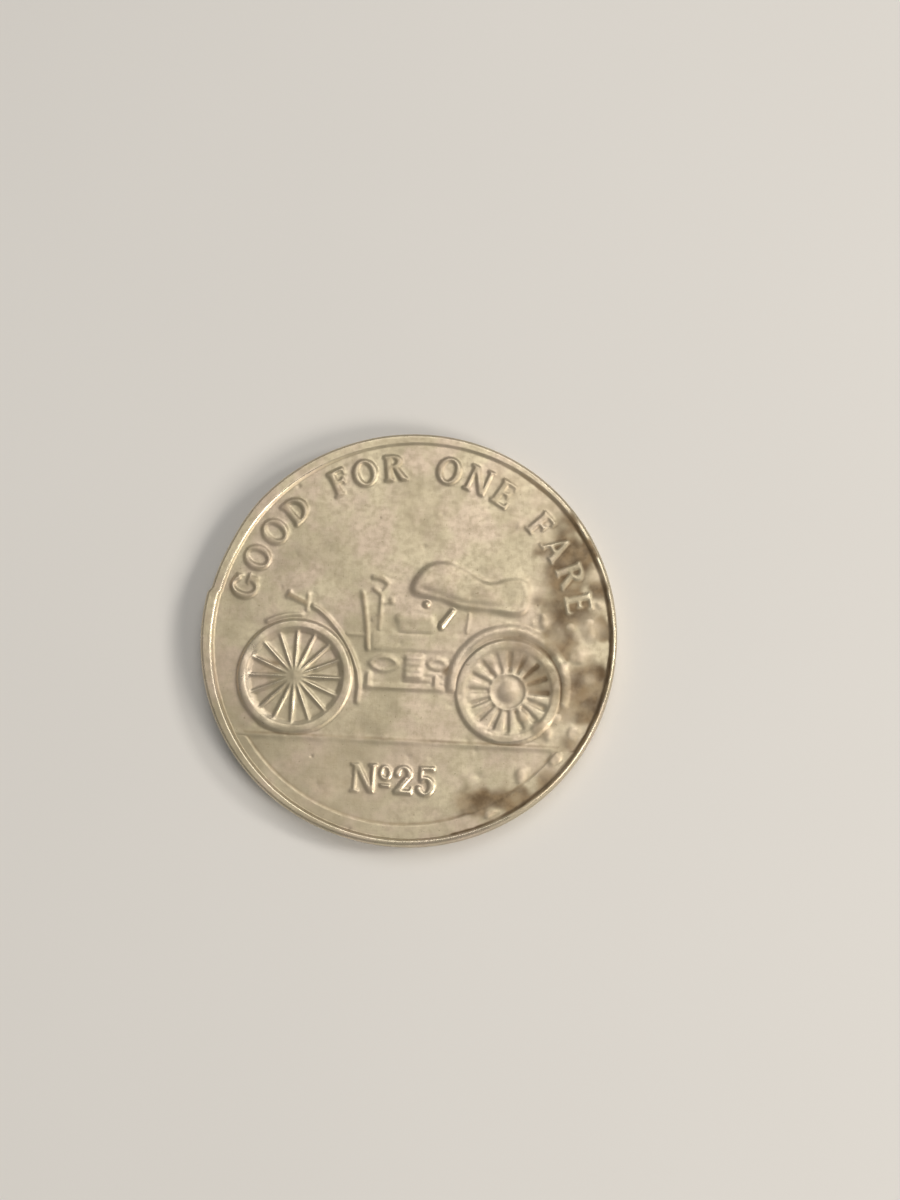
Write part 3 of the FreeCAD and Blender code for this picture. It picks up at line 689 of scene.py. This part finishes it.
def zipped(inner, outer, points):
    """Triangles between two closed loops of point numbers, both anticlockwise from -X."""
    def closed(loop):
        angles = np.arctan2(points[loop, 1], points[loop, 0]).tolist()
        return list(loop) + [loop[0]], angles + [angles[0] + 2 * math.pi]
    (a, at_a), (b, at_b) = closed(inner), closed(outer)
    i = j = 0
    triangles = []
    while i < len(a) - 1 or j < len(b) - 1:
        if j == len(b) - 1 or (i < len(a) - 1 and at_a[i + 1] <= at_b[j + 1]):
            triangles.append([a[i], b[j], a[i + 1]])
            i += 1
        else:
            triangles.append([a[i], b[j], b[j + 1]])
            j += 1
    return triangles


def outer_loop(points, polygons):
    """The outer boundary of a face's mesh, anticlockwise from the direction -X."""
    after = dict(boundary_edges(polygons))
    loop = [min(after, key=lambda p: math.atan2(points[p, 1], points[p, 0]))]
    while after[loop[-1]] != loop[0]:
        loop.append(after[loop[-1]])
    return loop


def edge_rings(first):
    """The rounded corners and the edge wall, as (points, normals, polygons, rings).

    first is the number of the first point, and rings holds the numbers of each ring.
    """
    profile = np.array(edge_profile())
    angle = -math.pi + 2 * math.pi * np.arange(SEGMENTS) / SEGMENTS
    along = np.gradient(profile, axis=0)
    outwards = np.column_stack([-along[:, 1], along[:, 0]])
    outwards /= np.linalg.norm(outwards, axis=1, keepdims=True)
    worn_off = RIM_HEIGHT * rim_wear(angle)
    wear_reaches = THICKNESS - 0.5
    points, normals = [], []
    for (radius, z), (out, up) in zip(profile, outwards):
        level = z - worn_off * ramp(z, wear_reaches, THICKNESS - EDGE_ROUND)
        upwards = np.full(SEGMENTS, up)
        points.append(np.column_stack([radius * np.cos(angle), radius * np.sin(angle), level]))
        normals.append(np.column_stack([out * np.cos(angle), out * np.sin(angle), upwards]))
    rings = np.arange(len(profile) * SEGMENTS).reshape(-1, SEGMENTS) + first
    after = np.roll(rings, -1, axis=1)
    quads = np.stack([rings[:-1], rings[1:], after[1:], after[:-1]], -1).reshape(-1, 4)
    return np.concatenate(points), np.concatenate(normals), quads.tolist(), rings


def token_blank(obverse, reverse, material):
    """The blank: both fields with their pockets, joined by the rims and the edge wall."""
    top, top_normals, top_loops, top_marks = blank_face(obverse)
    base, base_normals, base_loops, base_marks = blank_face(reverse)
    shift = len(top)
    wall, wall_normals, wall_loops, rings = edge_rings(shift + len(base))
    points = np.concatenate([top, base, wall])
    upper = outer_loop(top, top_loops)
    lower = [p + shift for p in outer_loop(base, base_loops)]
    loops = top_loops + [[p + shift for p in reversed(loop)] for loop in base_loops] + wall_loops
    loops += zipped(upper, rings[0].tolist(), points)
    loops += [loop[::-1] for loop in zipped(lower, rings[-1].tolist(), points)]
    wall_marks = dict.fromkeys(MARKS_AND_PAINTED_LIGHT, np.zeros(len(wall)))
    from_middle = np.abs(wall[:, 2] - THICKNESS / 2)
    near_corner = ramp(from_middle, 0.5, 0.86)
    wall_marks["wear"] = 0.8 * near_corner
    wall_marks["grime"] = 0.2 * (1 - near_corner)
    shares = (top_marks, base_marks, wall_marks)
    marks = {key: np.concatenate([share[key] for share in shares]) for key in MARKS_AND_PAINTED_LIGHT}
    normals = np.concatenate([top_normals, base_normals, wall_normals])
    piece = make_piece("token_blank_struck", points, normals, loops, marks, "token_blank")
    piece.data.materials.append(material)


# Materials

def set_range(node, low, high, out_low, out_high):
    """Sets the limits of a Map Range node."""
    limits = zip(("From Min", "From Max", "To Min", "To Max"), (low, high, out_low, out_high))
    for key, number in limits:
        node.inputs[key].default_value = number


class Nodes:
    """A material's node tree, with short ways to add to it."""

    def __init__(self, name):
        self.material = bpy.data.materials.new(name)
        self.material.use_nodes = True
        self.tree = self.material.node_tree
        self.shader = self.tree.nodes["Principled BSDF"]
        self.place = self.tree.nodes.new("ShaderNodeTexCoord").outputs["Object"]

    def link(self, source, target):
        self.tree.links.new(source, target)

    def set(self, socket, value):
        """A socket takes a number or colour, or the output of another node."""
        if isinstance(value, bpy.types.NodeSocket):
            self.link(value, socket)
        else:
            socket.default_value = value

    def attribute(self, name):
        node = self.tree.nodes.new("ShaderNodeAttribute")
        node.attribute_name = name
        return node.outputs["Fac"]

    def noise(self, size, detail=2.0, rough=0.5, stretch=(1, 1, 1)):
        """Noise with lumps of a size in millimetres."""
        mapping = self.tree.nodes.new("ShaderNodeMapping")
        mapping.inputs["Scale"].default_value = stretch
        self.link(self.place, mapping.inputs["Vector"])
        node = self.tree.nodes.new("ShaderNodeTexNoise")
        node.inputs["Scale"].default_value = 1 / (size * MM)
        node.inputs["Detail"].default_value = detail
        node.inputs["Roughness"].default_value = rough
        self.link(mapping.outputs["Vector"], node.inputs["Vector"])
        return node.outputs["Fac"]

    def ramp(self, value, low, high, out_low=0.0, out_high=1.0):
        node = self.tree.nodes.new("ShaderNodeMapRange")
        node.interpolation_type = "SMOOTHSTEP"
        set_range(node, low, high, out_low, out_high)
        self.link(value, node.inputs["Value"])
        return node.outputs["Result"]

    def math(self, operation, a, b):
        node = self.tree.nodes.new("ShaderNodeMath")
        node.operation = operation
        self.set(node.inputs[0], a)
        self.set(node.inputs[1], b)
        return node.outputs[0]

    def mix(self, share, a, b):
        node = self.tree.nodes.new("ShaderNodeMix")
        node.data_type = "RGBA"
        self.set(node.inputs["Factor"], share)
        self.set(node.inputs["A"], a)
        self.set(node.inputs["B"], b)
        return node.outputs["Result"]


# Colours of the metal and of what lies on it. BRIGHT_METAL is worn metal and painted highlight, the
# stain colours also paint shade, and the crust colours also paint highlights.
DULL_METAL, PALE_METAL = (0.49, 0.425, 0.29, 1), (0.65, 0.57, 0.40, 1)
PINK_METAL, BRIGHT_METAL = (0.66, 0.53, 0.42, 1), (0.80, 0.71, 0.56, 1)
SMUDGE, MOTTLE, SPECK = (0.42, 0.36, 0.26, 1), (0.41, 0.34, 0.23, 1), (0.22, 0.17, 0.10, 1)
DARK_STAIN_AND_SHADE, LIGHT_STAIN_AND_SHADE = (0.13, 0.08, 0.034, 1), (0.30, 0.21, 0.11, 1)
DARK_DIRT, LIGHT_DIRT = (0.10, 0.063, 0.028, 1), (0.22, 0.155, 0.085, 1)
DARK_CRUST_AND_HIGHLIGHT, LIGHT_CRUST_AND_HIGHLIGHT = (0.54, 0.44, 0.30, 1), (0.74, 0.62, 0.46, 1)


def metal_colour(n, mottle, wear):
    """Bare metal: cloudy, pinkish in places, smudged, mottled, specked and brighter on crests,
    where it is worn and partly painted with highlights, and in the painted highlight patches.
    """
    clouds, smudges = n.noise(3.4, 3), n.noise(1.1, 3, 0.55)
    pink_clouds = n.noise(2.3, 3, 0.5, (1.0, 1.0, 0.7))
    specks = n.noise(0.26, 2, 0.6)
    metal = n.mix(n.ramp(clouds, 0.35, 0.65), DULL_METAL, PALE_METAL)
    metal = n.mix(n.ramp(pink_clouds, 0.42, 0.66, 0.0, 0.7), metal, PINK_METAL)
    metal = n.mix(n.ramp(smudges, 0.5, 0.75, 0.0, 0.35), metal, SMUDGE)
    metal = n.mix(n.ramp(mottle, 0.35, 0.75, 0.0, 0.48), metal, MOTTLE)
    metal = n.mix(n.ramp(specks, 0.68, 0.76, 0.0, 0.5), metal, SPECK)
    return n.mix(n.math("MULTIPLY", wear, 0.3), metal, BRIGHT_METAL)


def grain(n):
    """A bump of fine grain and of hairline scratches both ways. It never changes the outline."""
    pits = n.noise(0.16, 4, 0.65)
    upright = n.noise(0.09, 2, 0.5, (1.0, 0.045, 1.0))
    level = n.noise(0.11, 2, 0.5, (0.05, 1.0, 1.0))
    scratches = n.math("MULTIPLY", n.math("ADD", upright, level), 0.35)
    bump = n.tree.nodes.new("ShaderNodeBump")
    bump.inputs["Distance"].default_value = 0.006 * MM
    bump.inputs["Strength"].default_value = 1.0
    n.link(n.math("ADD", n.math("MULTIPLY", pits, 0.8), scratches), bump.inputs["Height"])
    return bump.outputs["Normal"]


def struck_metal():
    """Worn white metal: warm and matte, a little brighter on crests, stained, dirty and crusted,
    with painted highlights and painted shade in places.
    """
    n = Nodes("struck_metal_worn")
    # The stain also holds painted shade on the legend; the crust and the wear also hold painted
    # highlights.
    grime, stain, crust, wear = (n.attribute(key) for key in MARKS_AND_PAINTED_LIGHT)
    mottle = n.noise(0.42, 4, 0.6)
    brown = n.mix(n.ramp(n.noise(1.0, 3, 0.5), 0.35, 0.65), DARK_STAIN_AND_SHADE, LIGHT_STAIN_AND_SHADE)
    tint = n.math("MULTIPLY", stain, n.ramp(n.noise(1.2, 3, 0.5), 0.25, 0.6, 0.7, 1.0))
    marks = n.mix(n.noise(0.35, 3), DARK_DIRT, LIGHT_DIRT)
    coat = n.math("MULTIPLY", grime, n.ramp(n.noise(0.6, 4, 0.65), 0.25, 0.6, 0.55, 1.0))
    crust_and_highlight_colour = n.mix(n.ramp(n.noise(0.9, 2, 0.5), 0.3, 0.7), DARK_CRUST_AND_HIGHLIGHT, LIGHT_CRUST_AND_HIGHLIGHT)
    colour = n.mix(tint, metal_colour(n, mottle, wear), brown)
    colour = n.mix(coat, colour, marks)
    colour = n.mix(crust, colour, crust_and_highlight_colour)
    dull = n.math("MAXIMUM", n.math("MAXIMUM", tint, coat), n.math("MULTIPLY", crust, 0.3))
    rough = n.math("ADD", n.ramp(mottle, 0.3, 0.7, 0.39, 0.5), n.math("MULTIPLY", dull, 0.22))
    n.set(n.shader.inputs["Base Color"], colour)
    n.set(n.shader.inputs["Metallic"], n.math("SUBTRACT", 0.8, n.math("MULTIPLY", dull, 0.75)))
    n.set(n.shader.inputs["Roughness"], n.math("SUBTRACT", rough, n.math("MULTIPLY", wear, 0.19)))
    n.set(n.shader.inputs["Normal"], grain(n))
    return n.material


def floor_material():
    """A plain pale surface, a little uneven in tone."""
    n = Nodes("pale_floor")
    darker, lighter = (0.72, 0.71, 0.69, 1), (0.75, 0.74, 0.72, 1)
    n.set(n.shader.inputs["Base Color"], n.mix(n.noise(30, 2), darker, lighter))
    n.set(n.shader.inputs["Roughness"], 0.8)
    return n.material


# Stage, light and camera

def floor():
    """A flat square, 4 m across, that the token lies on."""
    mesh = bpy.data.meshes.new("floor")
    half = 2.0
    corners = [(-half, -half, 0), (half, -half, 0), (half, half, 0), (-half, half, 0)]
    mesh.from_pydata(corners, [], [(0, 1, 2, 3)])
    mesh.materials.append(floor_material())
    plane = bpy.data.objects.new("floor", mesh)
    bpy.context.scene.collection.objects.link(plane)


def area_light(name, azimuth, elevation, distance, size, watts, colour):
    """A square soft light. azimuth is anticlockwise from +X, and both angles are in degrees."""
    light = bpy.data.lights.new(name, "AREA")
    light.shape, light.size, light.energy, light.color = "SQUARE", size, watts, colour
    lamp = bpy.data.objects.new(name, light)
    a, e = math.radians(azimuth), math.radians(elevation)
    way = Vector((math.cos(a) * math.cos(e), math.sin(a) * math.cos(e), math.sin(e)))
    lamp.location = way * distance
    lamp.rotation_euler = way.to_track_quat("Z", "Y").to_euler()
    bpy.context.scene.collection.objects.link(lamp)


HORIZON, SKY = 0.55, 0.21   # brightness of the surroundings level with the floor, and above

# (name, azimuth, elevation, distance, size, watts, colour) of each lamp, with lengths in metres
LAMPS = (
    ("key", -30, 34, 0.5, 0.15, 1.19, (1.0, 0.93, 0.84)),
    ("side", 8, 36, 0.5, 0.09, 0.72, (1.0, 0.95, 0.88)),
    ("overhead", 68, 66, 0.6, 0.36, 1.18, (1.0, 0.97, 0.93)),
)


def lights():
    """Soft light from the design's lower right and right, a soft box above, and a pale horizon."""
    world = bpy.data.worlds.new("studio")
    world.use_nodes = True
    tree = world.node_tree
    background = tree.nodes["Background"]
    background.inputs["Color"].default_value = (1.0, 0.97, 0.92, 1)
    place = tree.nodes.new("ShaderNodeTexCoord")
    split = tree.nodes.new("ShaderNodeSeparateXYZ")
    height = tree.nodes.new("ShaderNodeMapRange")
    set_range(height, 0.0, 0.3, HORIZON, SKY)
    tree.links.new(place.outputs["Generated"], split.inputs["Vector"])
    tree.links.new(split.outputs["Z"], height.inputs["Value"])
    tree.links.new(height.outputs["Result"], background.inputs["Strength"])
    bpy.context.scene.world = world
    for lamp in LAMPS:
        area_light(*lamp)


LENS, SENSOR = 50.0, 36.0   # millimetres. The sensor's length is the frame's long side, its height
TOKEN_SPAN = 0.35           # the token's diameter as a share of the frame's height
TILT = 12.0                 # degrees between the line of sight and the token's axis
TILT_WAY = -63.6            # the side that the camera leans to, anticlockwise from +X
ROLL = 3.4                  # degrees that the design is turned clockwise in the frame
CENTRE_X, CENTRE_Y = -0.0361, -0.0290   # the token's centre from the frame's, in frame heights


def camera():
    """Looks at the obverse, nearly straight down."""
    data = bpy.data.cameras.new("camera")
    data.lens, data.sensor_width = LENS, SENSOR
    data.clip_start, data.clip_end = 0.001, 20
    cam = bpy.data.objects.new("camera", data)
    middle = Vector((0, 0, THICKNESS * MM))
    lean, way = math.radians(TILT), math.radians(TILT_WAY)
    back = Vector((math.sin(lean) * math.cos(way), math.sin(lean) * math.sin(way), math.cos(lean)))
    up = Vector((-math.sin(math.radians(ROLL)), math.cos(math.radians(ROLL)), 0))
    up = (up - back * up.dot(back)).normalized()
    right = up.cross(back)
    frame_height = 2 * RADIUS * MM / TOKEN_SPAN
    distance = frame_height * LENS / SENSOR
    cam.matrix_world = Matrix((right, up, back)).transposed().to_4x4()
    cam.location = middle + back * distance - (right * CENTRE_X + up * CENTRE_Y) * frame_height
    bpy.context.scene.collection.objects.link(cam)
    bpy.context.scene.camera = cam


def main():
    bpy.context.scene.view_settings.view_transform = "Standard"
    material = struck_metal()
    obverse = Face(OBVERSE, 1, OBVERSE_FIELD, 11)
    reverse = Face(REVERSE, -1, REVERSE_FIELD, 71)
    relief_pieces(obverse, material)
    relief_pieces(reverse, material)
    token_blank(obverse, reverse, material)
    floor()
    lights()
    camera()


main()
